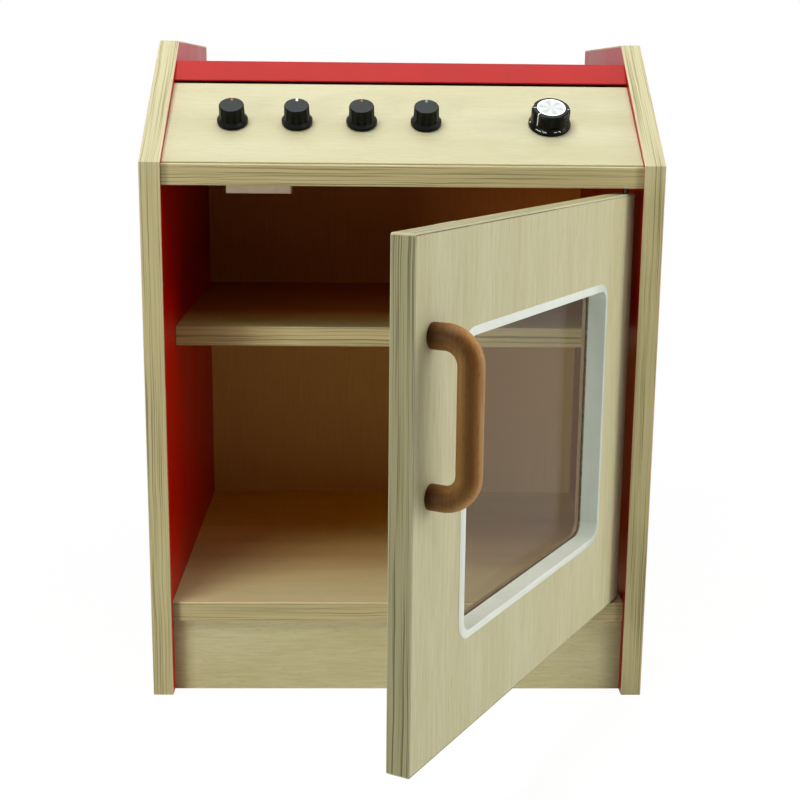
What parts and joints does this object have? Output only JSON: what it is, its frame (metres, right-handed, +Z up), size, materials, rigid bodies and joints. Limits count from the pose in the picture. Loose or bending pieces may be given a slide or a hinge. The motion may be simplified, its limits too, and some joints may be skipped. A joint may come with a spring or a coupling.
{
  "type": "toy oven",
  "caption": "Toy play oven cabinet of laminated boards with a leaning control panel, turning knobs, an inner shelf and a windowed door swinging on upright pivot pins.",
  "frame": {"origin": "middle of the plinth board's underside, on the floor", "axes": "+Z up, +Y from the door side towards the back, +X to the right seen from the door side"},
  "size_m": [0.395, 0.6239, 0.5165],
  "materials": {
    "board_upright": "satin printed foil, fine upright grain",
    "board_level": "satin printed foil, fine level grain",
    "band_upright": "satin edge strip with wavy grain",
    "band_level": "satin edge strip with wavy grain",
    "red_sheet": "satin",
    "red_cover": "satin",
    "back_sheet": "matt hardboard with a printed face",
    "cap_plastic": "satin",
    "zinc_steel": "bright zinc",
    "pin_steel": "turned",
    "nylon": "natural",
    "black_steel": "turned and blackened",
    "dark_nylon": "dark brown, moulded",
    "dark_frame": "moulded, dark brown, satin",
    "catch_plastic": "moulded, fine texture",
    "magnet": "sintered ferrite",
    "strike_steel": "zinc plated sheet",
    "bezel_plastic": "moulded, satin",
    "pane": "clear acrylic",
    "handle_wood": "bent beech, stained brown, satin lacquer",
    "knob_plastic": "moulded, satin",
    "mark_orange": "moulded",
    "mark_white": "moulded",
    "mark_red": "moulded",
    "mark_cyan": "moulded",
    "spun_aluminium": "spun, radial sheen"
  },
  "bodies": {
    "carcass": {"back_panel": "back_sheet", "back_screws": "zinc_steel", "carcass_screws": "zinc_steel", "catch_housing": "catch_plastic", "catch_magnet": "magnet", "catch_screws": "zinc_steel", "control_panel": "board_level", "cover_board": "red_cover", "cover_lipping": "red_cover", "floor_board": "board_level", "floor_edge_band": "band_level", "pivot_pins": "black_steel", "pivot_washer": "dark_nylon", "plinth_board": "board_level", "screw_caps": "cap_plastic", "shelf_board": "board_level", "shelf_edge_band": "band_level", "shelf_pins": "pin_steel", "side_board_left": "board_upright", "side_board_right": "board_upright", "side_edge_band_left": "band_upright", "side_edge_band_right": "band_upright", "side_laminate_left": "red_sheet", "side_laminate_right": "red_sheet", "spindle_bushes": "nylon", "top_board": "board_level", "top_edge_band": "band_level"},
    "door": {"door_board": "board_upright", "door_edge_band": "band_upright", "window_bezel": "bezel_plastic", "window_pane": "pane", "window_retainer": "dark_frame", "retainer_screws": "zinc_steel", "door_handle": "handle_wood", "handle_screws": "zinc_steel", "pivot_bushes": "nylon", "strike_plate": "strike_steel", "strike_screw": "zinc_steel"},
    "dial_1": {"knob_1": "knob_plastic", "pointer_1": "mark_orange", "spindle_1": "pin_steel"},
    "dial_2": {"knob_2": "knob_plastic", "pointer_2": "mark_white", "spindle_2": "pin_steel"},
    "dial_3": {"knob_3": "knob_plastic", "pointer_3": "mark_red", "spindle_3": "pin_steel"},
    "dial_4": {"knob_4": "knob_plastic", "pointer_4": "mark_cyan", "spindle_4": "pin_steel"},
    "dial_timer": {"timer_knob": "knob_plastic", "timer_line": "mark_white", "timer_cap": "spun_aluminium", "timer_spindle": "pin_steel"}
  },
  "joints": [
    {"name": "door_hinge", "type": "hinge", "parent": "carcass", "child": "door", "pos_m": [0.1696, -0.0078, 0], "axis": [0, 0, 1], "range_deg": [-60.2, 49.8]},
    {"name": "dial_1_turn", "type": "hinge", "parent": "carcass", "child": "dial_1", "pos_m": [-0.1315, 0.03116, 0.45385], "axis": [0, -0.5484, 0.8362], "range_deg": [-150, 150]},
    {"name": "dial_2_turn", "type": "hinge", "parent": "carcass", "child": "dial_2", "pos_m": [-0.0815, 0.03116, 0.45385], "axis": [0, -0.5484, 0.8362], "range_deg": [-150, 150]},
    {"name": "dial_3_turn", "type": "hinge", "parent": "carcass", "child": "dial_3", "pos_m": [-0.0315, 0.03116, 0.45385], "axis": [0, -0.5484, 0.8362], "range_deg": [-150, 150]},
    {"name": "dial_4_turn", "type": "hinge", "parent": "carcass", "child": "dial_4", "pos_m": [0.0185, 0.03116, 0.45385], "axis": [0, -0.5484, 0.8362], "range_deg": [-150, 150]},
    {"name": "dial_timer_turn", "type": "hinge", "parent": "carcass", "child": "dial_timer", "pos_m": [0.1147, 0.03116, 0.45385], "axis": [0, -0.5484, 0.8362], "range_deg": [-180, 120]}
  ]
}
